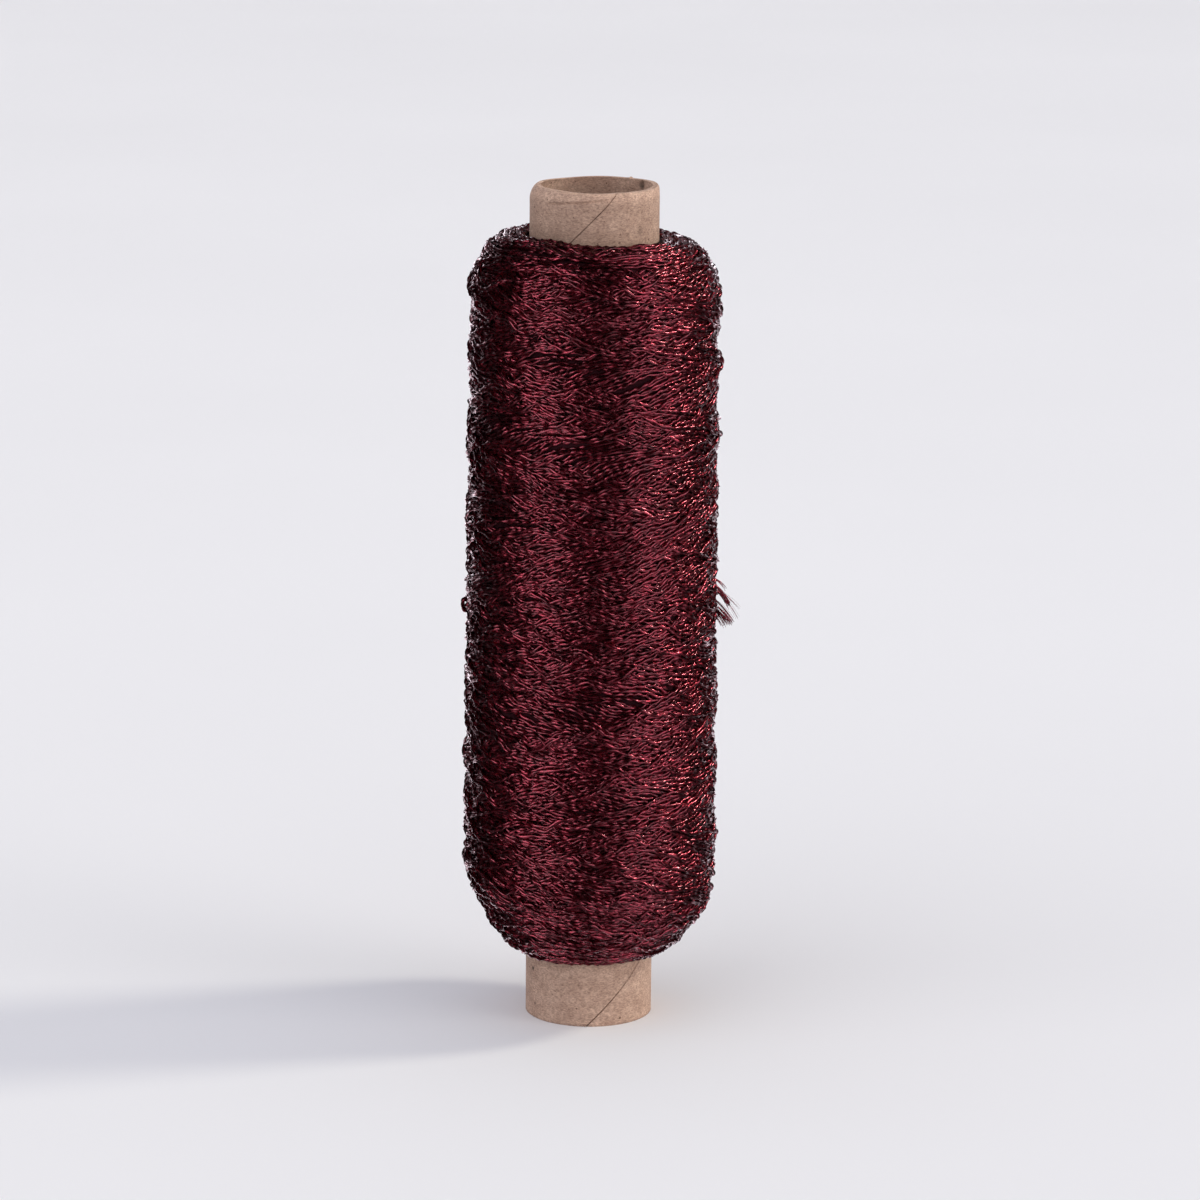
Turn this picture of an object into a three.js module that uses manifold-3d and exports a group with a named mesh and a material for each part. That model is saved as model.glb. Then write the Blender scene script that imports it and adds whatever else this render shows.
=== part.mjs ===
// Spool of glossy twisted yarn, cross-wound on a spiral-wound paper tube.
// Millimetres, +Z up. The tube stands on its bottom rim, its axis is Z and z = 0 is the rim's plane.
import * as THREE from 'three';
import { mergeVertices } from 'three/addons/utils/BufferGeometryUtils.js';
import Module from 'manifold-3d';

// Paper tube
const TUBE_LENGTH = 198;
const TUBE_RADIUS = 15;
const TUBE_FACETS = 48;
const PLY_NAMES = ['tube_ply_1_inner', 'tube_ply_2', 'tube_ply_3', 'tube_ply_4_outer'];
const PLY_THICKNESS = 0.36;
const GLUE_LINE = 0.05;
const SEAM_TURNS = 2.0625; // turns that a strip of paper makes between the two rims
const SEAM_GAP = 0.5; // left open between one turn of a strip and the next, measured along Z
const OUTER_SEAM_START = -92; // degrees round from +X at the bottom rim, where -90 is the front
const SEAM_STAGGER = 82.5; // degrees from each ply's seam to the next ply's
const CUT_MARGIN = 1; // how far the seam's cutter reaches past both faces of a ply

// Wound yarn
const BORE_CLEARANCE = 0.35;
const PACKAGE_BOTTOM = 15.8;
const PACKAGE_TOP = 187.3;
const BARREL_RADIUS_LOW = 29.4;
const BARREL_RADIUS_HIGH = 28.7;
const BOTTOM_SHOULDER = { height: 21, power: 1.7 };
const TOP_SHOULDER = { height: 12.8, depth: 9.2, power: 2 };
const SHOULDER_STEPS = 8;
const BARREL_STEPS = 38;
const PACKAGE_FACETS = 48;
// The crossing layers of yarn leave a low diamond pattern of swellings, which rise between two radii.
const SWELL = { height: 0.35, across: 3, pitch: 15.6, noneBelow: 20, fullFrom: 27.7 };

// Loose end of the yarn: it comes out of the package on the right and hangs down beside it.
const TAIL_ROUTE = [
  new THREE.Vector3(28.3, -0.8, 106.4),
  new THREE.Vector3(29.6, -1, 103.6),
  new THREE.Vector3(30.4, -1.3, 100.2),
  new THREE.Vector3(30.95, -1.6, 96),
];
const TAIL_RADIUS = 0.45;
const TAIL_CLEARANCE = 0.3;
const TAIL_FACETS = 8;
const TAIL_STEPS = 7;

const WELD_DISTANCE = 1e-4;

const wasm = await Module();
wasm.setup();

const kraft = new THREE.MeshStandardMaterial({ color: '#a38a76', roughness: 0.88, metalness: 0 });
const burgundy = new THREE.MeshStandardMaterial({ color: '#6b1a2e', roughness: 0.4, metalness: 0 });

function toSolid(geometry) {
  const bare = geometry.clone();
  bare.deleteAttribute('normal');
  bare.deleteAttribute('uv');
  const merged = mergeVertices(bare, WELD_DISTANCE);
  return new wasm.Manifold(new wasm.Mesh({
    numProp: 3,
    vertProperties: merged.attributes.position.array,
    triVerts: merged.index.array,
  }));
}

function toGeometry(solid) {
  const mesh = solid.getMesh();
  const geometry = new THREE.BufferGeometry();
  geometry.setAttribute('position', new THREE.BufferAttribute(mesh.vertProperties, 3));
  geometry.setIndex(new THREE.BufferAttribute(mesh.triVerts, 1));
  const faceted = geometry.toNonIndexed();
  faceted.computeVertexNormals();
  return faceted;
}

// A lathed ring turned about Z. Its profile holds [radius, z] pairs and closes on itself.
function ring(profile, facets, startAngle) {
  const points = [...profile, profile[0]].map(([radius, z]) => new THREE.Vector2(radius, z));
  const geometry = new THREE.LatheGeometry(points, facets);
  geometry.rotateX(Math.PI / 2);
  geometry.rotateZ(startAngle);
  return geometry;
}

// A ribbon of rectangular section that climbs round the tube. It cuts the seam between a strip's turns.
function seamCutter(innerRadius, outerRadius, startAngle) {
  const step = (2 * Math.PI) / TUBE_FACETS;
  const rise = TUBE_LENGTH / SEAM_TURNS / TUBE_FACETS;
  const stations = Math.round(SEAM_TURNS * TUBE_FACETS) + 2;
  const positions = [];
  const triangles = [];
  for (let i = 0; i <= stations; i += 1) {
    const angle = startAngle + (i - 1) * step;
    const z = (i - 1) * rise;
    for (const [radius, height] of [
      [innerRadius, z - SEAM_GAP / 2],
      [outerRadius, z - SEAM_GAP / 2],
      [outerRadius, z + SEAM_GAP / 2],
      [innerRadius, z + SEAM_GAP / 2],
    ]) {
      positions.push(radius * Math.cos(angle), radius * Math.sin(angle), height);
    }
  }
  for (let i = 0; i < stations; i += 1) {
    for (let corner = 0; corner < 4; corner += 1) {
      const a = 4 * i + corner;
      const b = 4 * i + ((corner + 1) % 4);
      triangles.push(a, b + 4, b, a, a + 4, b + 4);
    }
  }
  const end = 4 * stations;
  triangles.push(0, 1, 2, 0, 2, 3, end, end + 2, end + 1, end, end + 3, end + 2);
  const geometry = new THREE.BufferGeometry();
  geometry.setAttribute('position', new THREE.Float32BufferAttribute(positions, 3));
  geometry.setIndex(triangles);
  return geometry;
}

// One helical strip of paper, trimmed flat at both rims.
function tubePly(name, layersOutside) {
  const outer = TUBE_RADIUS - layersOutside * (PLY_THICKNESS + GLUE_LINE);
  const inner = outer - PLY_THICKNESS;
  const gridAngle = THREE.MathUtils.degToRad(OUTER_SEAM_START);
  const seamAngle = gridAngle + THREE.MathUtils.degToRad(layersOutside * SEAM_STAGGER);
  const wall = ring(
    [[inner, 0], [outer, 0], [outer, TUBE_LENGTH], [inner, TUBE_LENGTH]],
    TUBE_FACETS,
    gridAngle,
  );
  const cutter = seamCutter(inner - CUT_MARGIN, outer + CUT_MARGIN, seamAngle);
  const mesh = new THREE.Mesh(toGeometry(toSolid(wall).subtract(toSolid(cutter))), kraft);
  mesh.name = name;
  return mesh;
}

// Points [radius, z] of a quarter of a superellipse, from its flat end to its upright end.
function shoulder({ depth, height, power }) {
  const points = [];
  for (let i = 0; i <= SHOULDER_STEPS; i += 1) {
    const angle = ((i / SHOULDER_STEPS) * Math.PI) / 2;
    const radius = depth * Math.sin(angle) ** (2 / power);
    const z = height * (1 - Math.cos(angle) ** (2 / power));
    points.push([radius, z]);
  }
  return points;
}

function packageProfile() {
  const bore = TUBE_RADIUS + BORE_CLEARANCE;
  const low = shoulder({ depth: BARREL_RADIUS_LOW - bore, ...BOTTOM_SHOULDER });
  const profile = low.map(([radius, z]) => [bore + radius, PACKAGE_BOTTOM + z]);
  const barrelBottom = PACKAGE_BOTTOM + BOTTOM_SHOULDER.height;
  const barrelTop = PACKAGE_TOP - TOP_SHOULDER.height;
  for (let i = 1; i < BARREL_STEPS; i += 1) {
    const t = i / BARREL_STEPS;
    profile.push([
      THREE.MathUtils.lerp(BARREL_RADIUS_LOW, BARREL_RADIUS_HIGH, t),
      THREE.MathUtils.lerp(barrelBottom, barrelTop, t),
    ]);
  }
  const topInner = BARREL_RADIUS_HIGH - TOP_SHOULDER.depth;
  const high = shoulder(TOP_SHOULDER).reverse();
  profile.push(...high.map(([radius, z]) => [topInner + radius, PACKAGE_TOP - z]));
  profile.push([bore, PACKAGE_TOP]);
  return profile;
}

// A round rod along the tail's route. setBack starts it deeper in the package.
function tailRod(radius, setBack) {
  const section = new THREE.Shape();
  section.absarc(0, 0, radius, 0, 2 * Math.PI);
  const [root, next, ...rest] = TAIL_ROUTE;
  const start = root.clone().sub(next).setLength(setBack).add(root);
  return new THREE.ExtrudeGeometry(section, {
    steps: TAIL_STEPS,
    curveSegments: TAIL_FACETS,
    extrudePath: new THREE.CatmullRomCurve3([start, next, ...rest]),
  });
}

function yarnPackage() {
  const geometry = ring(packageProfile(), PACKAGE_FACETS, 0);
  const position = geometry.attributes.position;
  const barrelMiddle = (PACKAGE_BOTTOM + PACKAGE_TOP) / 2;
  for (let i = 0; i < position.count; i += 1) {
    const radius = Math.hypot(position.getX(i), position.getY(i));
    const angle = Math.atan2(position.getY(i), position.getX(i));
    const outwards = THREE.MathUtils.smoothstep(radius, SWELL.noneBelow, SWELL.fullFrom);
    const wave = Math.cos(SWELL.across * angle)
      * Math.cos((2 * Math.PI * (position.getZ(i) - barrelMiddle)) / SWELL.pitch);
    const swollen = 1 + (SWELL.height * outwards * wave) / radius;
    position.setX(i, position.getX(i) * swollen);
    position.setY(i, position.getY(i) * swollen);
  }
  const pocket = tailRod(TAIL_RADIUS + TAIL_CLEARANCE, TAIL_CLEARANCE);
  const mesh = new THREE.Mesh(toGeometry(toSolid(geometry).subtract(toSolid(pocket))), burgundy);
  mesh.name = 'yarn_package';
  return mesh;
}

function yarnTail() {
  const mesh = new THREE.Mesh(tailRod(TAIL_RADIUS, 0), burgundy);
  mesh.name = 'yarn_tail';
  return mesh;
}

const spool = new THREE.Group();
PLY_NAMES.forEach((name, index) => {
  spool.add(tubePly(name, PLY_NAMES.length - 1 - index));
});
spool.add(yarnPackage());
spool.add(yarnTail());

export default spool;
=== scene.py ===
"""Looks of a yarn spool: burgundy rayon yarn cross-wound on a spiral-wound kraft paper tube.

Lengths are in millimetres until a mesh is made. An angle is measured round the Z axis from +X, and the
front of the spool is at -90 degrees.
"""
import math

import bpy
import numpy as np
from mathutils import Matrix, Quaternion, Vector


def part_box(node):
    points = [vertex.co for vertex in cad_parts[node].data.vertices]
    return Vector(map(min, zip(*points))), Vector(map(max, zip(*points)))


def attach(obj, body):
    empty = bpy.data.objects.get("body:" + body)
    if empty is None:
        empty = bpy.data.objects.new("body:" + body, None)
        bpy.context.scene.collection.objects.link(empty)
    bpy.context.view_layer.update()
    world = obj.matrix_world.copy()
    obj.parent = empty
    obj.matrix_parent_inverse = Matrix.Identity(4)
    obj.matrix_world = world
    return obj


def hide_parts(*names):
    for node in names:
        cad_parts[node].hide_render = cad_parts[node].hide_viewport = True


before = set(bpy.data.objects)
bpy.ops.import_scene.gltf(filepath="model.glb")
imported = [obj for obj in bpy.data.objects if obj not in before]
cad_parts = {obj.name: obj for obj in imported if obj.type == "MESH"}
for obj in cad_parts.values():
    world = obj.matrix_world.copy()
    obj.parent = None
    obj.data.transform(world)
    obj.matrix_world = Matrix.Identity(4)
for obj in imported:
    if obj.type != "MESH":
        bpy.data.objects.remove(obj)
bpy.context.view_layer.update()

MM = 0.001
TAU = 2 * math.pi

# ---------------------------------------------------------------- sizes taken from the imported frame
_, tube_high = (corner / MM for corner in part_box("tube_ply_4_outer"))
TUBE_RADIUS = tube_high.x
TUBE_LENGTH = tube_high.z
pack_low, pack_high = (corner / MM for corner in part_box("yarn_package"))
_, tail_high = (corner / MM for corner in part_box("yarn_tail"))

# ---------------------------------------------------------------- tube
PLY_NODES = ["tube_ply_1_inner", "tube_ply_2", "tube_ply_3", "tube_ply_4_outer"]
PLY_THICKNESS = 0.38
GLUE_LINE = 0.025
WALL = len(PLY_NODES) * PLY_THICKNESS + (len(PLY_NODES) - 1) * GLUE_LINE
SEAM_TURNS = 2.0625  # that a strip makes over the tube's length
SEAM_START = math.radians(-92)  # where the outermost strip's seam meets the bottom rim
SEAM_STAGGER = math.radians(82.5)  # from one strip's seam to the next
SEAM_GAP_BOTTOM, SEAM_GAP_TOP = 0.2, 0.1  # half of the open joint, measured round the tube
SEAM_LIFT, SEAM_LIFT_REACH = 0.12, 0.5  # how the outermost strip's edge curls up
RIM_REACH = 2.9  # how far down the top rim's wear goes
RIM_CORNER, RIM_CORNER_DEPTH = 0.6, 0.3  # the rounding of its outer corner
RIM_LEAN, RIM_LEAN_LEFT = 0.13, 1.25  # how far it leans in all round, and more on the left
RIM_PALE_FROM, RIM_PALE_FULL = 2.4, 1.2  # below the top rim, where the board gets paler, partly from wear and partly as painted light on the lip that tilts up
FOOT_BOUNCE_LIGHT_HEIGHT = 30  # of the painted light at the bottom, a paler board that stands in for light thrown up by the floor
# Marks on the board: the angle in degrees, the height, the distance from the axis, the radius, the shade.
TUBE_MARKS = [
    (314, 189.3, 15.0, 1.0, 0.72),
    (208.5, 11.9, 15.0, 0.55, 0.15),
    (212.5, 3.5, 15.0, 0.4, 0.45),
    (304, 9.6, 15.0, 0.45, 0.72),
    # This last mark is painted shade, in the dent inside the rim on the right.
    (35.5, 197.0, 13.4, 1.0, 0.12),
]

# ---------------------------------------------------------------- yarn package
BARREL_LOW, BARREL_HIGH = 29.3, 28.5  # its radius above the bottom shoulder and below the top one
BOTTOM_SHOULDER, TOP_SHOULDER = 21.0, 12.8  # their heights
TOP_SHOULDER_DEPTH = 9.2
BOTTOM_POWER = 1.7  # a superellipse's power, 2 for a round shoulder
BORE_CLEARANCE = 0.05
OUTLINE_ROUNDING = 1.5
RELIEF_LIMIT = 0.74  # the most that a strand stands above or sinks below the settled surface
ASIDE, ASIDE_FROM, ASIDE_LENGTH = 0.35, 130, 50  # the upper part is wound a little to the right

# ---------------------------------------------------------------- strand
LEG_RADIUS, LEG_LOBE = 0.38, 0.19  # a leg's mean radius, and how far its two lobes stand out
LEG_OFFSET = 0.46  # from the middle of the strand to the middle of a leg
STITCH_PITCH = 5.8
TWIST_DRIFT, TWIST_DRIFT_LENGTH = 1.5, 9.0  # how unevenly the legs twist, in radians
ROLL, ROLL_LENGTH = 0.75, 16.0  # how far the pair of legs tips over, in radians
THICKNESS_CHANGE, THICKNESS_LENGTH = 0.06, 9.0
STEP = 0.45  # between two stations along a strand
SECTION = 6  # vertices round a leg
CHUNK_TRIANGLES = 198000  # the most that one piece of the package may have

# ---------------------------------------------------------------- winding
GRID = 0.15  # the height map's cell
SETTLE_SMOOTHING = 2.4
FOOT_HALF_WIDTH, FOOT_HEIGHT = 0.86, 0.3  # the ridge that a laid strand adds to the height map
BED = 0.2  # from the surface that carries a strand to the strand's middle
TAUT = 0.6  # 1 for a strand that spans every hollow, 0 for one that lies in it
SINK_DEPTH, SINK_LENGTH = 1.6, 9.0  # how a loose end goes down between the strands
WANDER, WANDER_LENGTH = 0.16, 7.0  # how a strand strays on its own
WIND_ANGLE = math.radians(13)
WIND_SLOPE = BARREL_LOW * math.tan(WIND_ANGLE)  # the advance for one radian round the barrel
# Strokes go up or down the whole package. They turn back between two distances from each of its ends.
REAL_STROKES, REAL_TURNS_LOW, REAL_TURNS_HIGH = 66, (12, 27), (8, 19)
HIDDEN_STROKES, HIDDEN_TURNS_LOW, HIDDEN_TURNS_HIGH = 30, (3, 22), (2, 16)
# Shorter turns fill the two ends, the first of them flat round the tube.
TUBE_TURNS_END, HIGH_TURNS_END, LOW_TURNS_END = 5.0, 19.0, 27.0  # how far from an end its turns reach
END_TURN_START, END_TURN_SPACING = 0.7, 0.66
FLAT_TURN, STEEPER_TURN, STEEPENING_LENGTH = 0.08, 0.67, 7  # an end turn's slope as a share of WIND_SLOPE
SCALLOPS, SCALLOP_DEPTH = 17, 0.52  # the waves of the package's two edges on the tube
EDGE_MARGIN = 0.3
LAST_WRAPS = 5
LAST_WRAP_START, LAST_WRAP_SPACING, LAST_WRAP_CLIMB = 98.4, 1.3, 9.0
LAST_WRAP_FROM, LAST_WRAP_TO = math.radians(20), math.radians(400)


# ================================================================ small helpers
def smooth_noise(rng, count, spacing, wavelength):
    """Smooth random numbers about 0, one for each of count samples that lie spacing apart."""
    knots = max(4, int(count * spacing / wavelength) + 4)
    values = rng.standard_normal(knots)
    x = np.linspace(0, knots - 1.001, count)
    i = x.astype(int)
    t = x - i
    t = t * t * (3 - 2 * t)
    return values[i] * (1 - t) + values[np.minimum(i + 1, knots - 1)] * t


def blur(values, sigma):
    """A Gaussian blur along a one-dimensional array."""
    reach = max(1, int(3 * sigma))
    kernel = np.exp(-0.5 * (np.arange(-reach, reach + 1) / sigma) ** 2)
    kernel /= kernel.sum()
    return np.convolve(np.pad(values, reach, mode="edge"), kernel, mode="valid")


def blur_map(values, sigma):
    """A near-Gaussian blur of a map whose second axis goes once round, by three box blurs."""
    reach = max(1, int(sigma))
    for _ in range(3):
        for axis, mode in ((0, "edge"), (1, "wrap")):
            pad = [(0, 0), (0, 0)]
            pad[axis] = (reach + 1, reach)
            total = np.cumsum(np.pad(values, pad, mode=mode), axis=axis, dtype=float)
            ahead = np.take(total, range(2 * reach + 1, total.shape[axis]), axis=axis)
            behind = np.take(total, range(0, total.shape[axis] - 2 * reach - 1), axis=axis)
            values = (ahead - behind) / (2 * reach + 1)
    return values


def upper_envelope(values, reach):
    """The highest neighbour within reach samples of each sample."""
    padded = np.pad(values, reach, mode="edge")
    return np.lib.stride_tricks.sliding_window_view(padded, 2 * reach + 1).max(axis=1)


def make_object(name, vertices, quads, material, uv_maps=None):
    """A smooth mesh object, from vertices in millimetres and an array of quads, that rides on the root."""
    mesh = bpy.data.meshes.new(name)
    mesh.vertices.add(len(vertices))
    mesh.vertices.foreach_set("co", (np.asarray(vertices, np.float32) * MM).ravel())
    mesh.loops.add(quads.size)
    mesh.polygons.add(len(quads))
    mesh.loops.foreach_set("vertex_index", quads.astype(np.int32).ravel())
    mesh.polygons.foreach_set("loop_start", np.arange(0, quads.size, 4, dtype=np.int32))
    mesh.update(calc_edges=True)
    mesh.polygons.foreach_set("use_smooth", np.full(len(quads), True))
    for uv_name, uv in (uv_maps or {}).items():
        layer = mesh.uv_layers.new(name=uv_name)
        layer.data.foreach_set("uv", uv.astype(np.float32).ravel())
    mesh.materials.append(material)
    mesh.update()
    piece = bpy.data.objects.new(name, mesh)
    bpy.context.scene.collection.objects.link(piece)
    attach(piece, "root")
    return piece


# ================================================================ materials
# A Mix node's sockets for colours go by number, because its other kinds of value share their names.
MIX_FACTOR, MIX_A, MIX_B, MIX_RESULT = 0, 6, 7, 2


class Nodes:
    """A short way to build the node tree of a material or a world."""

    def __init__(self, owner):
        owner.use_nodes = True
        self.tree = owner.node_tree

    def add(self, kind, **settings):
        node = self.tree.nodes.new(kind)
        for key, value in settings.items():
            setattr(node, key, value)
        return node

    def link(self, source, source_socket, target, target_socket):
        self.tree.links.new(source.outputs[source_socket], target.inputs[target_socket])

    def noise(self, source, socket, scale, detail=3.0, roughness=0.5, stretch=None):
        """A noise texture. scale is in cycles per unit of the source; stretch scales each axis first."""
        if stretch is not None:
            mapping = self.add("ShaderNodeMapping")
            mapping.inputs["Scale"].default_value = stretch
            self.link(source, socket, mapping, "Vector")
            source, socket = mapping, "Vector"
        node = self.add("ShaderNodeTexNoise")
        node.inputs["Scale"].default_value = scale
        node.inputs["Detail"].default_value = detail
        node.inputs["Roughness"].default_value = roughness
        self.link(source, socket, node, "Vector")
        return node

    def ramp(self, source, socket, stops):
        """A colour ramp. stops holds (position, (r, g, b)) pairs in order."""
        node = self.add("ShaderNodeValToRGB")
        elements = node.color_ramp.elements
        while len(elements) < len(stops):
            elements.new(0.5)
        for element, (position, colour) in zip(elements, stops):
            element.position = position
            element.color = (*colour, 1)
        self.link(source, socket, node, "Fac")
        return node

    def multiply(self, first, second):
        """The product of two colours. Each of the three is a (node, socket) pair."""
        node = self.add("ShaderNodeMix", data_type="RGBA", blend_type="MULTIPLY")
        node.inputs[MIX_FACTOR].default_value = 1.0
        self.link(*first, node, MIX_A)
        self.link(*second, node, MIX_B)
        return node, MIX_RESULT

    def scale_range(self, source, socket, low, high, from_low, from_high):
        """Turns the range from_low to from_high into low to high."""
        node = self.add("ShaderNodeMapRange")
        node.inputs["From Min"].default_value = from_low
        node.inputs["From Max"].default_value = from_high
        node.inputs["To Min"].default_value = low
        node.inputs["To Max"].default_value = high
        self.link(source, socket, node, "Value")
        return node


class Surface(Nodes):
    """A new material with one principled shader."""

    def __init__(self, name):
        self.material = bpy.data.materials.new(name)
        super().__init__(self.material)
        self.tree.nodes.clear()
        output = self.add("ShaderNodeOutputMaterial")
        self.shader = self.add("ShaderNodeBsdfPrincipled")
        self.link(self.shader, "BSDF", output, "Surface")

    def constants(self, values):
        """Sets sockets of the shader that are the same all over, by name."""
        for name, value in values.items():
            self.shader.inputs[name].default_value = value

    def bump(self, source, socket, strength, distance):
        """Gives the shader a relief that is distance high, in metres."""
        node = self.add("ShaderNodeBump")
        node.inputs["Strength"].default_value = strength
        node.inputs["Distance"].default_value = distance
        self.link(source, socket, node, "Height")
        self.link(node, "Normal", self.shader, "Normal")


def yarn_material():
    """Bright rayon filament: it shines across the filaments, which run along each leg of the chain."""
    n = Surface("burgundy_rayon_yarn")
    place = n.add("ShaderNodeTexCoord")
    strand = n.add("ShaderNodeUVMap", uv_map="Strand")
    streaks = n.noise(strand, "UV", 1.0, detail=2.0, stretch=(0.5, 6.0, 1.0))
    patches = n.noise(place, "Object", 330.0, detail=2.0)
    colour = n.ramp(streaks, "Fac", [(0.3, (0.07, 0.004, 0.008)), (0.7, (0.45, 0.038, 0.066))])
    dye = n.ramp(patches, "Fac", [(0.3, (0.45, 0.42, 0.42)), (0.7, (1.0, 1.0, 1.0))])
    n.link(*n.multiply((colour, "Color"), (dye, "Color")), n.shader, "Base Color")
    rough = n.scale_range(streaks, "Fac", 0.2, 0.34, 0.3, 0.7)
    n.link(rough, "Result", n.shader, "Roughness")
    n.bump(streaks, "Fac", 0.4, 0.00005)
    along = n.add("ShaderNodeTangent", direction_type="UV_MAP", uv_map="Strand")
    n.link(along, "Tangent", n.shader, "Tangent")
    n.constants({"Metallic": 0.965, "Anisotropic": 0.75, "Anisotropic Rotation": 0.25})
    n.constants({"Coat Weight": 0.34, "Coat IOR": 1.7, "Coat Roughness": 0.13})
    return n.material


def core_material():
    """The same yarn deep between the strands, where little light comes: its colour is painted near black
    and dull, as painted shade.
    """
    n = Surface("shaded_yarn")
    place = n.add("ShaderNodeTexCoord")
    strands = n.noise(place, "Object", 500.0, stretch=(1.0, 1.0, 3.0))
    # Painted shade: the yarn's colour is darkened to near black where it lies under the strands.
    tone = n.ramp(strands, "Fac", [(0.3, (0.012, 0.002, 0.003)), (0.7, (0.03, 0.005, 0.008))])
    n.link(tone, "Color", n.shader, "Base Color")
    n.constants({"Roughness": 0.85, "Specular IOR Level": 0.1})
    return n.material


def kraft_material():
    """Grey-brown kraft board with mottled pulp, short fibres, specks and marks, one of them painted shade
    in the dent inside the rim. It is paler at the top rim, partly from wear and partly as painted light on
    the lip that tilts up, and paler at the foot as painted light from the floor.
    """
    n = Surface("kraft_board")
    place = n.add("ShaderNodeTexCoord")
    mottle = n.noise(place, "Object", 260.0, detail=4.0, roughness=0.6)
    fibre = n.noise(place, "Object", 1500.0, detail=2.0, roughness=0.7, stretch=(1.0, 1.0, 2.2))
    speck = n.noise(place, "Object", 900.0, detail=1.0)
    base = n.ramp(mottle, "Fac", [(0.3, (0.335, 0.212, 0.158)), (0.7, (0.465, 0.315, 0.24))])
    flecks = n.ramp(fibre, "Fac", [(0.3, (0.62, 0.59, 0.57)), (0.5, (1, 1, 1)), (0.72, (1.36, 1.38, 1.33))])
    mixed = n.multiply((base, "Color"), (flecks, "Color"))
    spots = n.ramp(speck, "Fac", [(0.22, (0.35, 0.3, 0.28)), (0.27, (1, 1, 1))])
    final = n.multiply(mixed, (spots, "Color"))
    split = n.add("ShaderNodeSeparateXYZ")
    n.link(place, "Object", split, "Vector")
    pale_from, pale_full = (TUBE_LENGTH - RIM_PALE_FROM) * MM, (TUBE_LENGTH - RIM_PALE_FULL) * MM
    # The top rim is made paler: partly wear, partly painted light where the lip tilts up towards the light
    # from above.
    worn_and_lit_rim = n.scale_range(split, "Z", 1.0, 1.2, pale_from, pale_full)
    # Painted light: the board grows paler towards its foot, standing in for light from the floor.
    painted_floor_bounce = n.scale_range(split, "Z", 1.13, 1.0, 0.0, FOOT_BOUNCE_LIGHT_HEIGHT * MM)
    for change in (worn_and_lit_rim, painted_floor_bounce):
        final = n.multiply(final, (change, "Result"))
    # Each mark darkens the board round a point: real specks and smudges, and one painted shade in the dent
    # inside the rim.
    for angle, height, distance, radius, shade in TUBE_MARKS:
        a = math.radians(angle)
        centre = Vector((distance * math.cos(a), distance * math.sin(a), height)) * MM
        away = n.add("ShaderNodeVectorMath", operation="DISTANCE")
        away.inputs[1].default_value = centre
        n.link(place, "Object", away, 0)
        fade = n.scale_range(away, "Value", shade, 1.0, 0.35 * radius * MM, 1.3 * radius * MM)
        final = n.multiply(final, (fade, "Result"))
    n.link(*final, n.shader, "Base Color")
    rough = n.scale_range(mottle, "Fac", 0.78, 0.92, 0.3, 0.7)
    n.link(rough, "Result", n.shader, "Roughness")
    n.bump(fibre, "Fac", 0.35, 0.0001)
    n.constants({"Specular IOR Level": 0.3})
    return n.material


# ================================================================ the package's outline
def package_outline(spacing):
    """The package's outline from its lower to its upper inner edge: radius, z and the outward normal,
    sampled every spacing millimetres of its length."""
    bore = TUBE_RADIUS + BORE_CLEARANCE
    corner = np.linspace(0, math.pi / 2, 200)
    low_depth = BARREL_LOW - bore
    low_r = bore + low_depth * np.sin(corner) ** (2 / BOTTOM_POWER)
    low_z = pack_low.z + BOTTOM_SHOULDER * (1 - np.cos(corner) ** (2 / BOTTOM_POWER))
    high_r = BARREL_HIGH - TOP_SHOULDER_DEPTH * (1 - np.cos(corner))
    high_z = pack_high.z - TOP_SHOULDER * (1 - np.sin(corner))
    r = np.concatenate([low_r, high_r, [bore]])
    z = np.concatenate([low_z, high_z, [pack_high.z]])
    length = np.concatenate([[0], np.cumsum(np.hypot(np.diff(r), np.diff(z)))])
    s = np.arange(0, length[-1], spacing)
    r = blur(np.interp(s, length, r), OUTLINE_ROUNDING / spacing)
    z = blur(np.interp(s, length, z), OUTLINE_ROUNDING / spacing)
    dr, dz = np.gradient(r), np.gradient(z)
    size = np.hypot(dr, dz)
    return {"s": s, "r": r, "z": z, "nr": dz / size, "nz": -dr / size, "length": s[-1]}


def swell(theta, z):
    """Low swellings that the crossing layers leave, in millimetres."""
    turn = 0.5 * np.cos(3 * theta + 0.7) + 0.5 * np.cos(2 * theta - z / 31)
    return 0.33 * np.cos(TAU * z / 15.6 + 0.9 * np.sin(theta + z / 23)) * (0.55 + 0.45 * turn)


# ================================================================ winding
def drift(theta, s):
    """How far neighbouring strands have slid along the package together, in millimetres."""
    return (
        0.275 * np.sin(3 * theta + s / 7.1)
        + 0.225 * np.sin(5 * theta - s / 4.7 + 1.3)
        + 0.175 * np.sin(8 * theta + s / 3.3 + 2.1)
    )


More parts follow.
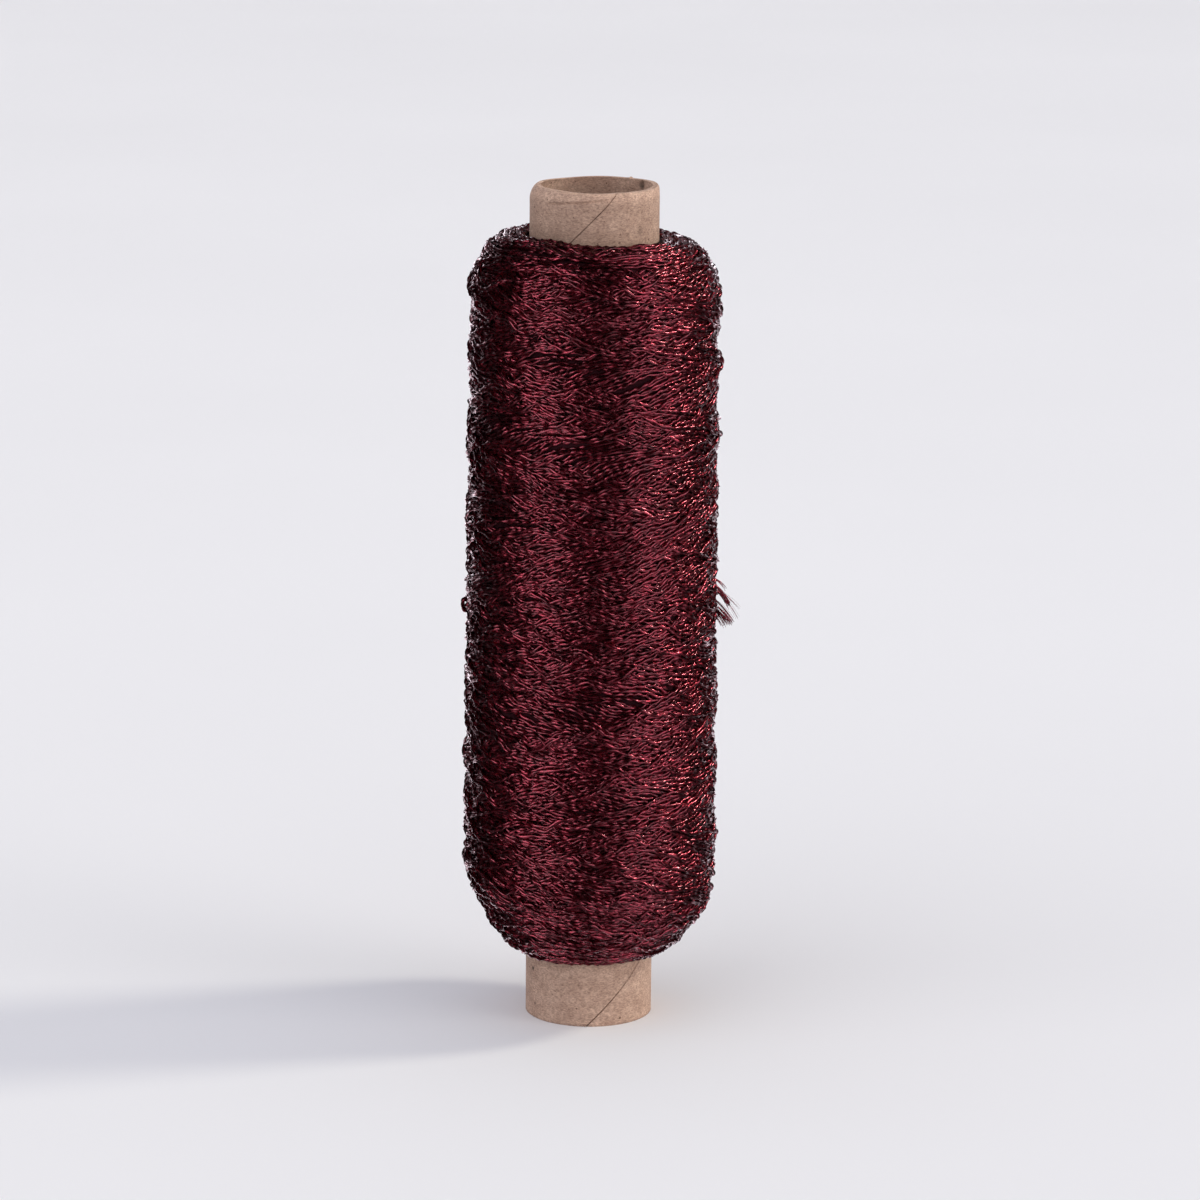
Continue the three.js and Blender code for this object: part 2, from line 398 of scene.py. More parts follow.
class Winding:
    """Lays one strand over another on the package's outline, which is unrolled to angle and length.

    height maps how far the strands stand above the outline so far, with a row for each step along it and a
    column for each step round it. laid holds the strands that are kept."""

    def __init__(self, outline, rng):
        self.outline = outline
        self.rng = rng
        self.rows = len(outline["s"])
        self.columns = int(TAU * BARREL_LOW / GRID)
        self.height = np.zeros((self.rows, self.columns), np.float32)
        self.laid = []

    def dense(self, theta, s):
        """Resamples a route so that its samples lie one grid cell apart."""
        r = np.interp(s, self.outline["s"], self.outline["r"])
        step_round = np.diff(theta) * (r[1:] + r[:-1]) / 2
        length = np.concatenate([[0], np.cumsum(np.hypot(step_round, np.diff(s)))])
        at = np.arange(0, length[-1], GRID)
        return np.interp(at, length, theta), np.interp(at, length, s), at

    def ground_under(self, row, column):
        """The highest of the cells under a strand, which count less the further off its middle they are."""
        reach, falloff = 2, 0.05
        found = np.full(len(row), -np.inf)
        for offset in range(-reach, reach + 1):
            here = self.height[np.clip(row + offset, 0, self.rows - 1), column] - falloff * abs(offset)
            found = np.maximum(found, here)
        return found

    def slide(self, row, column):
        """How many rows each sample slips sideways, off a ridge and into the valley next to it.

        A valley further off counts as less deep, and valleys that are about as deep share the sample."""
        reach, distance_cost, alike, smoothing = 8, 0.0025, 0.07, 14.0
        offsets = np.arange(-reach, reach + 1)
        depth = np.stack([self.ground_under(row + offset, column) for offset in offsets])
        depth += distance_cost * offsets[:, None] ** 2
        weight = np.exp(-(depth - depth.min(axis=0)) / alike)
        return blur((weight * offsets[:, None]).sum(axis=0) / weight.sum(axis=0), smoothing)

    def lay(self, theta, s, keep, sink_ends=False):
        """Lays a strand along a route, and stores it if keep is true."""
        theta, s, length = self.dense(theta, s)
        wander = WANDER * smooth_noise(self.rng, len(theta), GRID, WANDER_LENGTH)
        s = s + drift(theta, s) + wander
        column = np.round(theta / TAU * self.columns).astype(int) % self.columns
        for _ in range(2):
            s = s + GRID * self.slide(np.round(s / GRID).astype(int), column)
        edge = EDGE_MARGIN + SCALLOP_DEPTH * (1 + np.sin(SCALLOPS * theta + 2.0 * np.sin(3 * theta)))
        s = np.clip(s, edge, self.outline["length"] - edge)
        row = np.round(s / GRID).astype(int)
        support = self.ground_under(row, column)
        span, smoothing = 4, 8.0
        tight = blur(upper_envelope(support, span), smoothing)
        centre = TAUT * tight + (1 - TAUT) * blur(support, smoothing / 2) + BED
        if sink_ends:
            run = np.minimum(length, length[-1] - length)
            centre = centre - SINK_DEPTH * np.clip(1 - run / SINK_LENGTH, 0, 1) ** 2
        for offset in range(-4, 5):
            inside = 1 - (offset * GRID / FOOT_HALF_WIDTH) ** 2
            top = centre + FOOT_HEIGHT * math.sqrt(inside)
            np.maximum.at(self.height, (np.clip(row + offset, 0, self.rows - 1), column), top)
        if keep:
            self.laid.append({"theta": theta, "s": s, "height": centre})

    def settle(self):
        """A smooth map of how far the finished surface stands above the outline."""
        return blur_map(self.height, SETTLE_SMOOTHING / GRID)


def reversal_arc(rng, limit, inwards, half_turns, slope):
    """A strand that comes up to a limit near one end of the package, turns and goes back."""
    middle = rng.uniform(0, TAU)
    reach = math.pi * half_turns
    theta = np.linspace(-reach, reach, 400)
    rounding = 0.35
    rounded = np.sqrt(theta ** 2 + rounding ** 2) - rounding
    return middle + theta, limit + inwards * slope * rounded


def continuous_route(rng, strokes, low_limits, high_limits, start_angle):
    """The route of a strand that goes up and down the package, one (angle, length) pair for each stroke.

    The golden ratio sets how far round each stroke crosses the middle, which spreads them evenly."""
    samples = 1200
    reversal = 0.2  # the angle over which a stroke's ends and middle are rounded
    golden = (math.sqrt(5) - 1) / 2
    theta = start_angle
    at = low_limits[0]
    middle = (low_limits.mean() + high_limits.mean()) / 2
    routes = []
    for i in range(strokes):
        upwards = i % 2 == 0
        target = high_limits[i] if upwards else low_limits[i]
        wanted = TAU * ((i // 2) * golden + rng.normal(0, 0.002)) * (1 if upwards else -1)
        before = abs(middle - at) / WIND_SLOPE
        shift = (wanted - (theta + before)) % TAU
        if shift > math.pi:
            shift -= TAU
        before += shift
        after = abs(target - middle) / WIND_SLOPE
        knots_theta = [theta, theta + before, theta + before + after]
        t = np.linspace(knots_theta[0], knots_theta[-1], samples)
        route = np.interp(t, knots_theta, [at, middle, target])
        route = blur(route, samples * reversal / (knots_theta[-1] - knots_theta[0]))
        routes.append((t, route))
        theta = knots_theta[-1]
        at = target
    return routes


def wind_package(rng):
    """Winds the whole package: returns the winding, and the height map of the layers that stay hidden."""
    outline = package_outline(GRID)
    winding = Winding(outline, rng)
    length = outline["length"]
    # Layers that only give the ground for the ones on top.
    low = rng.uniform(*HIDDEN_TURNS_LOW, HIDDEN_STROKES)
    high = length - rng.uniform(*HIDDEN_TURNS_HIGH, HIDDEN_STROKES)
    for theta, s in continuous_route(rng, HIDDEN_STROKES, low, high, 0.4):
        winding.lay(theta, s, keep=False)
    ground = winding.height.copy()
    # Turns near the two ends, from the tube outwards.
    for limit in np.arange(END_TURN_START, LOW_TURNS_END, END_TURN_SPACING):
        half_turns = rng.uniform(1.05, 1.3) if limit < TUBE_TURNS_END else rng.uniform(0.8, 1.4)
        steepening = min(max((limit - TUBE_TURNS_END) / STEEPENING_LENGTH, 0), 1)
        slope = WIND_SLOPE * (FLAT_TURN + STEEPER_TURN * steepening)
        for middle, inwards in ((limit, 1), (length - limit, -1)):
            if limit < HIGH_TURNS_END or inwards == 1:
                turn_at = middle + rng.uniform(-0.3, 0.3)
                theta, s = reversal_arc(rng, turn_at, inwards, half_turns, slope)
                winding.lay(theta, s, keep=True, sink_ends=True)
    # The last layers, whole.
    low = rng.uniform(*REAL_TURNS_LOW, REAL_STROKES)
    high = length - rng.uniform(*REAL_TURNS_HIGH, REAL_STROKES)
    for theta, s in continuous_route(rng, REAL_STROKES, low, high, 2.1):
        winding.lay(theta, s, keep=True)
    # The very last wraps lie side by side and climb from the knot.
    theta = np.linspace(LAST_WRAP_FROM, LAST_WRAP_TO, 900)
    for wrap in range(LAST_WRAPS):
        z = LAST_WRAP_START + LAST_WRAP_SPACING * wrap + LAST_WRAP_CLIMB * (theta - math.pi)
        ends = 0.12 * wrap + rng.uniform(0, 0.2)
        inside = (theta > theta[0] + ends) & (theta < theta[-1] - ends)
        s = np.interp(z, outline["z"], outline["s"])
        winding.lay(theta[inside], s[inside], keep=True, sink_ends=True)
    return winding, ground


def end_slant(outline, s, x):
    """How far the ends of the package stand above or below a regular outline: both lean a little."""
    bottom_length, top_length, top_blend = 36, 27, 18
    low = np.sin(math.pi * np.clip(s / bottom_length, 0, 1))
    rise = np.clip((s - outline["length"] + top_length) / top_blend, 0, 1)
    high = rise * rise * (3 - 2 * rise)
    return low * (0.75 - 1.6 * x / 27) - high * (1.2 + 0.85 * x / 22)


def surface_frame(outline, settle, theta, s, height):
    """Points at a height over the outline, with the outward normal there."""
    r = np.interp(s, outline["s"], outline["r"])
    z = np.interp(s, outline["s"], outline["z"])
    nr = np.interp(s, outline["s"], outline["nr"])
    nz = np.interp(s, outline["s"], outline["nz"])
    row = np.clip(np.round(s / GRID).astype(int), 0, settle.shape[0] - 1)
    column = np.round(theta / TAU * settle.shape[1]).astype(int) % settle.shape[1]
    relief = height - settle[row, column]
    relief = RELIEF_LIMIT * np.tanh(relief / RELIEF_LIMIT)
    raised = relief + swell(theta, z) * np.clip(nr, 0, 1)
    radius = r + nr * raised
    cos, sin = np.cos(theta), np.sin(theta)
    lean = end_slant(outline, s, radius * cos)
    aside = ASIDE * np.clip((z - ASIDE_FROM) / ASIDE_LENGTH, 0, 1)
    points = np.stack([radius * cos + aside, radius * sin, z + nz * raised + lean], axis=1)
    normals = np.stack([nr * cos, nr * sin, nz], axis=1)
    return points, normals


def unit(vectors):
    return vectors / np.linalg.norm(vectors, axis=-1, keepdims=True)


def length_along(points):
    """The distance of each point from the first one, measured along them."""
    return np.concatenate([[0], np.cumsum(np.linalg.norm(np.diff(points, axis=0), axis=1))])


def sweep_chain(points, normals, roll, turn, scale):
    """The two legs of a chain-stitched strand, swept along points, as two (n, SECTION, 3) arrays.

    Each leg is a two-lobed section that twists one way, and its neighbour twists the other way. roll tips
    the pair over, turn is where the twist starts, and scale makes the strand thicker or thinner."""
    length = length_along(points)
    tangent = unit(np.gradient(points, axis=0))
    side = unit(np.cross(normals, tangent))
    up = np.cross(tangent, side)
    flat_side = side * np.cos(roll)[:, None] + up * (0.7 * np.sin(roll))[:, None]
    around = np.arange(SECTION) * TAU / SECTION
    reach = LEG_RADIUS + LEG_LOBE * np.cos(2 * around)
    reach = reach[None, :] * scale[:, None]
    legs = []
    for hand in (1, -1):
        centre = points + hand * LEG_OFFSET * scale[:, None] * flat_side
        angle = around[None, :] + hand * (TAU * length / STITCH_PITCH + turn)[:, None]
        legs.append(
            centre[:, None, :]
            + up[:, None, :] * (reach * np.cos(angle))[..., None]
            - side[:, None, :] * (reach * np.sin(angle))[..., None]
        )
    return legs


def strand_faces(count, first):
    """Quads of a tube with count stations, whose first vertex has the index first."""
    i = np.arange(count - 1)[:, None] * SECTION
    k = np.arange(SECTION)[None, :]
    after = (k + 1) % SECTION
    quads = np.stack([i + k, i + SECTION + k, i + SECTION + after, i + after], axis=-1)
    return quads.reshape(-1, 4) + first


def make_strands(name, strands, material):
    """Joins swept strands in one object. Each strand has its vertices, and its length at each station.

    The map Strand has the length and the way round the strand; OFBake unrolls the whole package."""
    vertices, faces, strand_uv, bake_uv = [], [], [], []
    first = 0
    k = np.arange(SECTION)
    for strand in strands:
        ring = strand["vertices"]
        count = len(ring)
        vertices.append(ring.reshape(-1, 3))
        quads = strand_faces(count, first)
        faces.append(quads)
        length = strand["length"]
        a, b = length[:-1, None], length[1:, None]
        shape = (count - 1, SECTION)
        u0, u1 = np.broadcast_to(a, shape), np.broadcast_to(b, shape)
        v0 = np.broadcast_to(k[None, :] / SECTION, shape)
        v1 = v0 + 1 / SECTION
        strand_uv.append(np.stack([u0, v0, u1, v0, u1, v1, u0, v1], axis=-1).reshape(-1, 2))
        turn = np.arctan2(ring[..., 1], ring[..., 0]) / TAU + 0.5
        rise = ring[..., 2] / TUBE_LENGTH
        nxt = (k + 1) % SECTION
        corner_u = np.stack([turn[:-1], turn[1:], turn[1:][:, nxt], turn[:-1][:, nxt]], axis=-1)
        corner_v = np.stack([rise[:-1], rise[1:], rise[1:][:, nxt], rise[:-1][:, nxt]], axis=-1)
        corner_u = np.where(corner_u.max(axis=-1, keepdims=True) - corner_u > 0.5, corner_u + 1, corner_u)
        bake_uv.append(np.stack([corner_u, corner_v], axis=-1).reshape(-1, 2))
        caps = first + np.array([[0, 1, 2, 3], [0, 3, 4, 5]])
        far = (count - 1) * SECTION
        ends = np.concatenate([caps, caps[:, ::-1] + far])
        faces.append(ends)
        flat = np.zeros((len(ends) * 4, 2))
        strand_uv.append(flat)
        bake_uv.append(flat + 0.001)
        first += count * SECTION
    return make_object(
        name,
        np.concatenate(vertices),
        np.concatenate(faces),
        material,
        uv_maps={"Strand": np.concatenate(strand_uv), "OFBake": np.concatenate(bake_uv)},
    )


def build_yarn(material, shaded):
    """The package: its strands, joined in pieces of a limited size, and the core under them."""
    rng = np.random.default_rng(11)
    winding, ground = wind_package(rng)
    outline, settle = winding.outline, winding.settle()
    chunks, size = [[]], 0
    take = slice(0, None, round(STEP / GRID))
    for laid in winding.laid:
        theta, s, height = laid["theta"][take], laid["s"][take], laid["height"][take]
        points, normals = surface_frame(outline, settle, theta, s, height)
        count = len(points)
        turn = TWIST_DRIFT * smooth_noise(rng, count, STEP, TWIST_DRIFT_LENGTH) + rng.uniform(0, TAU)
        roll = ROLL * smooth_noise(rng, count, STEP, ROLL_LENGTH)
        scale = 1 + THICKNESS_CHANGE * smooth_noise(rng, count, STEP, THICKNESS_LENGTH)
        triangles = 2 * (2 * SECTION) * count
        if size + triangles > CHUNK_TRIANGLES:
            chunks.append([])
            size = 0
        size += triangles
        for leg in sweep_chain(points, normals, roll, turn, scale):
            chunks[-1].append({"vertices": leg, "length": length_along(points) + rng.uniform(0, 500)})
    pieces = [
        make_strands(f"yarn_turns_{number:02d}", chunk, material)
        for number, chunk in enumerate(chunks, start=1)
    ]
    return [*pieces, build_core(outline, settle, ground, shaded)]


def build_core(outline, settle, ground, material):
    """The yarn under the last layers: a closed body with the relief of the strands that lie there."""
    row_step, columns = 4, 330
    depth = 0.35  # under the middle of the strands
    rows = np.arange(2, len(outline["s"]) - 2, row_step)
    pick = (np.arange(columns) * ground.shape[1] / columns).astype(int)
    theta = pick / ground.shape[1] * TAU
    s = outline["s"][rows]
    grid_s, grid_theta = np.meshgrid(s, theta, indexing="ij")
    height = ground[rows][:, pick] - depth
    points, _ = surface_frame(outline, settle, grid_theta.ravel(), grid_s.ravel(), height.ravel())
    rings = [*points.reshape(len(rows), columns, 3)]
    bore = TUBE_RADIUS + 0.08
    bore_x, bore_y = bore * np.cos(theta), bore * np.sin(theta)
    for z in (rings[-1][:, 2].mean(), rings[0][:, 2].mean()):
        rings.append(np.stack([bore_x, bore_y, np.full(columns, z)], axis=1))
    count = len(rings)
    i = np.arange(count)[:, None]
    k = np.arange(columns)[None, :]
    after = (k + 1) % columns
    below = i * columns
    above = ((i + 1) % count) * columns
    quads = np.stack([below + k, below + after, above + after, above + k], axis=-1).reshape(-1, 4)
    turn = np.stack(np.broadcast_arrays(k, k + 1, k + 1, k), axis=-1) / columns
    turn = np.broadcast_to(turn, (count, columns, 4))
    rise = np.stack(np.broadcast_arrays(i, i, i + 1, i + 1), axis=-1) / count
    rise = np.broadcast_to(rise, (count, columns, 4))
    uv = np.stack([turn, rise], axis=-1).reshape(-1, 2)
    vertices = np.concatenate(rings)
    return make_object("yarn_core", vertices, quads, material, uv_maps={"Strand": uv * 180, "OFBake": uv})


def sweep_round(points, radius):
    """A round filament along points, with a radius for each, as an (n, SECTION, 3) array."""
    tangent = unit(np.gradient(points, axis=0))
    side = unit(np.cross(tangent, [0.21, 1.0, 0.13]))
    up = np.cross(side, tangent)
    around = np.arange(SECTION) * TAU / SECTION
    return points[:, None, :] + radius[:, None, None] * (
        side[:, None, :] * np.cos(around)[None, :, None] - up[:, None, :] * np.sin(around)[None, :, None]
    )


def build_frayed_end(material):
    """The cut end of the yarn on the right: its filaments have come apart in clumps and fan downwards."""
    rng = np.random.default_rng(23)
    top = tail_high.z - 0.7
    edge = tail_high.x + 0.1
    # Each clump: its root and its tip as distances from the edge and the top, its size and its thickness.
    clumps = [
        (-1.9, -1.4, -0.2, -2.6, 3, 0.11),
        (-1.7, -2.6, 0.9, -6.4, 6, 0.13),
        (-1.9, -3.8, 0.6, -6.9, 5, 0.12),
        (-1.4, -3.4, 2.8, -9.8, 2, 0.06),
        (-1.8, -6.2, 1.7, -10.6, 4, 0.09),
        (-2.0, -6.9, 1.4, -10.7, 4, 0.11),
        (-2.3, -8.1, 1.0, -11.4, 5, 0.12),
        (-2.4, -8.2, 0.1, -11.5, 5, 0.12),
        (-2.5, -9.4, -0.7, -11.7, 3, 0.1),
        (-0.4, -4.6, 3.1, -7.5, 2, 0.05),
    ]
    buried_x, buried_z = -1.2, 1.3  # from a clump's root to where its filaments start, inside the package
    strands = []
    t = np.linspace(0, 1, 14)[:, None]
    for root_x, root_z, tip_x, tip_z, size, thick in clumps:
        depth = rng.uniform(-1.6, 0.2)
        for _ in range(3 * size):
            spread = rng.normal(0, 1, 3)
            root = np.array([edge + root_x + buried_x, depth + 0.1 * spread[0], top + root_z + buried_z])
            tip = np.array([edge + tip_x, depth, top + tip_z]) + spread * [0.28, 0.35, 0.3]
            bend = (root + tip) / 2 + [0.45, 0, 0.35] + rng.normal(0, 0.12, 3)
            points = root * (1 - t) ** 2 + bend * 2 * t * (1 - t) + tip * t ** 2
            radius = 0.65 * thick * (1 - 0.5 * t[:, 0])
            length = np.linalg.norm(tip - root) * t[:, 0]
            strands.append({"vertices": sweep_round(points, radius), "length": length})
    return make_strands("frayed_yarn_end", strands, material)


def build_knot(material):
    """The knot on the left where the yarn was tied: a small coil that stands out of the surface."""
    turns, thickness = 3.2, 0.8
    width, coil_depth, coil_height, climb, root_depth = 5.2, 0.9, 1.5, 1.3, 1.5
    stand_out, forward = 0.25, 0.6
    middle = pack_low.z + 83.2
    t = np.linspace(0, 1, 110)
    angle = TAU * turns * t
    tight = np.sin(math.pi * t) ** 0.5
    radial = BARREL_LOW + stand_out + coil_depth * tight * np.cos(angle) - root_depth * (1 - tight)
    rise = middle + coil_height * tight * np.sin(angle) + climb * (t - 0.5)
    across = math.radians(180) + (width * t - width / 2) / BARREL_LOW
    points = np.stack([radial * np.cos(across), radial * np.sin(across) - forward, rise], axis=1)
    normals = np.stack([np.cos(across), np.sin(across), np.zeros(len(t))], axis=1)
    length = length_along(points)
    flat = np.zeros(len(t))
    legs = sweep_chain(points, normals, flat, flat, flat + thickness)
    return make_strands("yarn_knot", [{"vertices": leg, "length": length} for leg in legs], material)


# ================================================================ tube
def worn_rim(theta, z, depth):
    """How far the wall has moved near its top rim, outwards and upwards. depth is 0 at the bore, 1 outside.

    The rim leans inwards most on the left and its outer corner is rounded. A crease runs below it in front,
    a dent lies inside on the right, and a burr stands on it at the back."""
    below = TUBE_LENGTH - z
    degrees = np.degrees(theta) % 360
    near = np.clip(1 - below / RIM_REACH, 0, 1)
    corner = np.clip(1 - below / RIM_CORNER, 0, 1)
    lean = RIM_LEAN + RIM_LEAN_LEFT * (0.5 - 0.5 * np.cos(theta - 0.3)) ** 1.3
    outwards = -lean * near ** 2 * (0.75 + 0.25 * depth) - RIM_CORNER_DEPTH * depth * corner ** 2
    crease_from, crease_to, crease_below, crease_rise = 221, 296, 2.6, 1.5
    under_crease = below - (crease_below - crease_rise * (degrees - 227) / 63)
    window = np.clip((degrees - crease_from) / 5, 0, 1) * np.clip((crease_to - degrees) / 26, 0, 1)
    groove = 0.42 * np.exp(-((under_crease / 0.24) ** 2))
    hollow = np.where(under_crease > 0, 0.16 * np.exp(-under_crease / 1.3), 0.0)
    outwards -= depth * window * (groove + hollow)
    dent_at, dent_below, dent_depth = 35.5, 0.8, 0.8
    dent = np.exp(-(((degrees - dent_at) / 3.0) ** 2) - ((below - dent_below) / 0.8) ** 2)
    outwards += dent_depth * (1 - depth) * dent
    burr_at, burr_height = 54, 0.35
    burr = burr_height * np.exp(-(((degrees - burr_at) / 0.9) ** 2))
    upwards = near * (0.25 + 0.1 * np.sin(2 * theta + 1.0) + 0.07 * np.sin(5 * theta + 0.4) + burr)
    return outwards, upwards


def build_ply(index, material):
    """One helical strip of board. The outermost strip's edge is a little lifted at the seam."""
    count = len(PLY_NODES)
    outer = TUBE_RADIUS - (count - 1 - index) * (PLY_THICKNESS + GLUE_LINE)
    inner = outer - PLY_THICKNESS
    seam = SEAM_START + (count - 1 - index) * SEAM_STAGGER
    pitch = TUBE_LENGTH / SEAM_TURNS
    around = 240
    rim_top, rim_bottom = 4, 2  # the ends where the stations are closer
    z = np.concatenate([
        np.linspace(0, rim_bottom, 5)[:-1],
        np.linspace(rim_bottom, TUBE_LENGTH - rim_top, 160)[:-1],
        np.linspace(TUBE_LENGTH - rim_top, TUBE_LENGTH, 41),
    ])
    up = len(z) - 1
    gap = np.interp(z, [0, TUBE_LENGTH], [SEAM_GAP_BOTTOM, SEAM_GAP_TOP])[:, None] / outer
    grid_z = np.broadcast_to(z[:, None], (up + 1, around + 1))
    grid_u = gap + (TAU - 2 * gap) * np.linspace(0, 1, around + 1)[None, :]
    theta = seam + grid_u + TAU * grid_z / pitch
    lift = 0.0
    if index == count - 1:
        lift = SEAM_LIFT * np.exp(-(TAU - grid_u - gap) * outer / SEAM_LIFT_REACH)
    rings = []
    for radius in (outer, inner):
        outwards, upwards = worn_rim(theta, grid_z, 1 - (TUBE_RADIUS - radius) / WALL)
        reach = radius + outwards + lift
        rings.append(np.stack([reach * np.cos(theta), reach * np.sin(theta), grid_z + upwards], axis=-1))
    vertices = np.concatenate([ring.reshape(-1, 3) for ring in rings])
    n = around + 1
    shift = (up + 1) * n  # from a vertex on the outside to the one inside it
    i = np.arange(up)[:, None]
    k = np.arange(around)[None, :]
    a = i * n + k
    quads = np.stack([a, a + 1, a + n + 1, a + n], axis=-1).reshape(-1, 4)
    k = np.arange(around)
    bottom = np.stack([k + 1, k, k + shift, k + 1 + shift], axis=-1)
    top = up * n + np.stack([k, k + 1, k + 1 + shift, k + shift], axis=-1)
    i = np.arange(up) * n
    start = np.stack([i, i + n, i + n + shift, i + shift], axis=-1)
    end = around + np.stack([i + n, i, i + shift, i + n + shift], axis=-1)
    faces = np.concatenate([quads, quads[:, ::-1] + shift, bottom, top, start, end])
    return make_object(PLY_NODES[index] + "_board", vertices, faces, material)


# ================================================================ stage
def build_stage():
    """A round pale floor, in metres, that grows a little darker away from the spool, as painted light that
    falls off away from it.
    """
    floor_radius = 8.0
    steps = 96
    angle = np.arange(steps) * TAU / steps
    rim = np.stack([floor_radius * np.cos(angle), floor_radius * np.sin(angle), np.zeros(steps)], axis=1)
    mesh = bpy.data.meshes.new("floor")
    mesh.from_pydata(rim.tolist(), [], [list(range(steps))])
    n = Surface("floor_paper")
    place = n.add("ShaderNodeTexCoord")
    soft = n.noise(place, "Object", 3.0)
    tone = n.ramp(soft, "Fac", [(0.3, (0.83, 0.825, 0.85)), (0.7, (0.85, 0.845, 0.87))])
    away = n.add("ShaderNodeVectorMath", operation="LENGTH")
    n.link(place, "Object", away, 0)
    # Painted light: the floor darkens with distance from the spool.
    fade = n.scale_range(away, "Value", 1.0, 0.945, 0.5, 2.2)
    n.link(*n.multiply((tone, "Color"), (fade, "Result")), n.shader, "Base Color")
    n.constants({"Roughness": 0.9, "Specular IOR Level": 0.1})
    mesh.materials.append(n.material)
    floor = bpy.data.objects.new("floor", mesh)
    bpy.context.scene.collection.objects.link(floor)
    floor.visible_glossy = False


# Lamps: name, azimuth in degrees from the front and positive to the right, elevation, strength, width in
# degrees, colour, and the kind of ray that doesn't meet it.
LAMPS = [
    ("key", 102, 40, 0.89, 9.5, (1.0, 0.96, 0.79), "visible_glossy"),
    ("key_glint", 103, 38, 1.5, 9.5, (1.0, 0.96, 0.9), "visible_diffuse"),
    ("left_softbox", -46, 40, 0.62, 60, (1.0, 0.98, 0.97), "visible_glossy"),
    ("right_softbox", 66, 12, 1.4, 40, (1.0, 0.96, 0.9), "visible_glossy"),
]


def add_sun(name, azimuth, elevation, strength, spread, colour, unseen):
    data = bpy.data.lights.new(name, "SUN")
    data.energy = strength
    data.angle = math.radians(spread)
    data.color = colour
    lamp = bpy.data.objects.new(name, data)
    a, e = math.radians(azimuth), math.radians(elevation)
    towards = Vector((math.sin(a) * math.cos(e), -math.cos(a) * math.cos(e), math.sin(e)))
    lamp.rotation_euler = towards.to_track_quat("Z", "Y").to_euler()
    setattr(lamp, unseen, False)
    bpy.context.scene.collection.objects.link(lamp)


# What the yarn reflects: upright soft boxes in front and a pale wall behind, given as (azimuth, glow) in
# degrees as for the lamps and as (sine of the elevation, glow).
STUDIO_GLOW = 6.35
ROOM_GLOW = 0.65  # the even light that every other ray meets
SOFTBOX_AZIMUTHS = [
    (-179, 0.0), (-80, 0.0), (-64, 0.08), (-50, 0.85), (-38, 0.68), (-22, 0.03), (-12, 0.0), (16, 0.0),
    (34, 0.32), (50, 0.58), (64, 0.48), (84, 0.05), (100, 0.0),
]
SOFTBOX_HEIGHTS = [(0.0, 0.22), (0.05, 1.0), (0.4, 1.0), (0.6, 0.02), (1.0, 0.02)]
WALL_AZIMUTHS = [(-179, 1.0), (-160, 0.95), (-144, 0.16), (-128, 0.0), (128, 0.0), (144, 0.16), (160, 0.65)]
WALL_HEIGHTS = [(0.0, 0.45), (0.05, 1.0), (0.1, 1.0), (0.22, 0.12), (0.6, 0.06), (1.0, 0.03)]
FLOOR_GLOW = 0.012


def grey_stops(stops):
    """The stops of a colour ramp, from (position, value) pairs in any order."""
    return [(position, (value, value, value)) for position, value in sorted(stops)]


def math_node(nodes, operation, source, socket, constant):
    """A Math node on an output and a constant."""
    node = nodes.add("ShaderNodeMath", operation=operation)
    node.inputs[1].default_value = constant
    nodes.link(source, socket, node, 0)
    return node


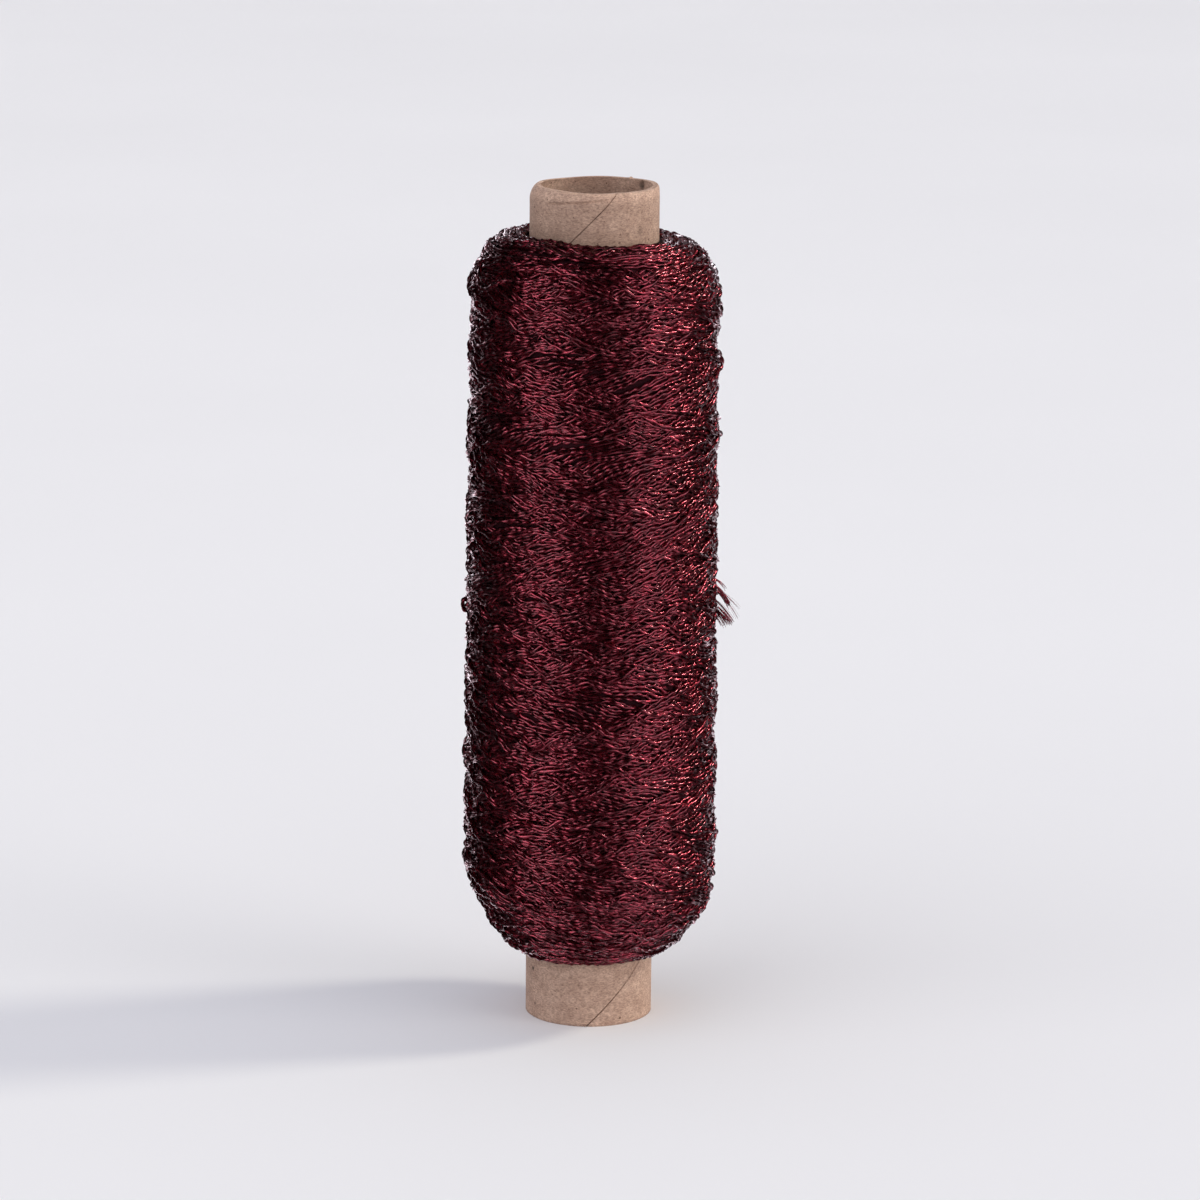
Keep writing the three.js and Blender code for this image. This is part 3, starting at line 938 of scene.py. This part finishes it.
def build_world():
    """A room whose soft boxes and wall only glossy rays meet; it is even for all others."""
    world = bpy.data.worlds.new("studio")
    n = Nodes(world)
    background = n.tree.nodes["Background"]
    place = n.add("ShaderNodeTexCoord")
    around = n.add("ShaderNodeTexGradient", gradient_type="RADIAL")
    n.link(place, "Generated", around, "Vector")
    split = n.add("ShaderNodeSeparateXYZ")
    n.link(place, "Generated", split, "Vector")
    below = math_node(n, "LESS_THAN", split, "Z", 0.0)
    total = math_node(n, "MULTIPLY", below, "Value", FLOOR_GLOW)
    for azimuths, heights in ((SOFTBOX_AZIMUTHS, SOFTBOX_HEIGHTS), (WALL_AZIMUTHS, WALL_HEIGHTS)):
        # The gradient is 0.25 at the front and grows to the right.
        stops = [((0.25 + azimuth / 360) % 1, glow) for azimuth, glow in azimuths]
        across = n.ramp(around, "Fac", grey_stops(stops))
        upwards = n.ramp(split, "Z", grey_stops(heights))
        glow = n.add("ShaderNodeMath", operation="MULTIPLY_ADD")
        n.link(across, "Color", glow, 0)
        n.link(upwards, "Color", glow, 1)
        n.link(total, "Value", glow, 2)
        total = glow
    bright = math_node(n, "MULTIPLY", total, "Value", STUDIO_GLOW)
    path = n.add("ShaderNodeLightPath")
    seen = n.add("ShaderNodeMix")
    seen.inputs["A"].default_value = ROOM_GLOW
    n.link(path, "Is Glossy Ray", seen, "Factor")
    n.link(bright, "Value", seen, "B")
    n.link(seen, "Result", background, "Strength")
    background.inputs["Color"].default_value = (0.9, 0.915, 1.0, 1)
    world.cycles.sampling_method = "NONE"
    bpy.context.scene.world = world


def build_camera():
    """The camera stands in front of the spool, above its top, and looks slightly down."""
    distance, height = 1130.0, 365.7
    pitch, roll, yaw = 13.2272, 0.4811, 0.1011
    data = bpy.data.cameras.new("camera")
    data.sensor_width = 36
    data.lens = 148.404
    data.clip_start, data.clip_end = 0.05, 50
    camera = bpy.data.objects.new("camera", data)
    p, w = math.radians(pitch), math.radians(yaw)
    forward = Vector((math.sin(w) * math.cos(p), math.cos(w) * math.cos(p), -math.sin(p)))
    tilt = Quaternion((0, 0, 1), math.radians(roll))
    camera.rotation_mode = "QUATERNION"
    camera.rotation_quaternion = forward.to_track_quat("-Z", "Y") @ tilt
    camera.location = Vector((0, -distance, height)) * MM
    bpy.context.scene.collection.objects.link(camera)
    bpy.context.scene.camera = camera


# ================================================================ the scene
build_camera()
for lamp_settings in LAMPS:
    add_sun(*lamp_settings)
build_world()
build_stage()
bpy.context.scene.view_settings.view_transform = "Standard"

kraft = kraft_material()
yarn = yarn_material()

for ply_index, node in enumerate(PLY_NODES):
    board = build_ply(ply_index, kraft)
    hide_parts(node)

for piece in build_yarn(yarn, core_material()):
    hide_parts("yarn_package")

frayed_end = build_frayed_end(yarn)
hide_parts("yarn_tail")
knot = build_knot(yarn)
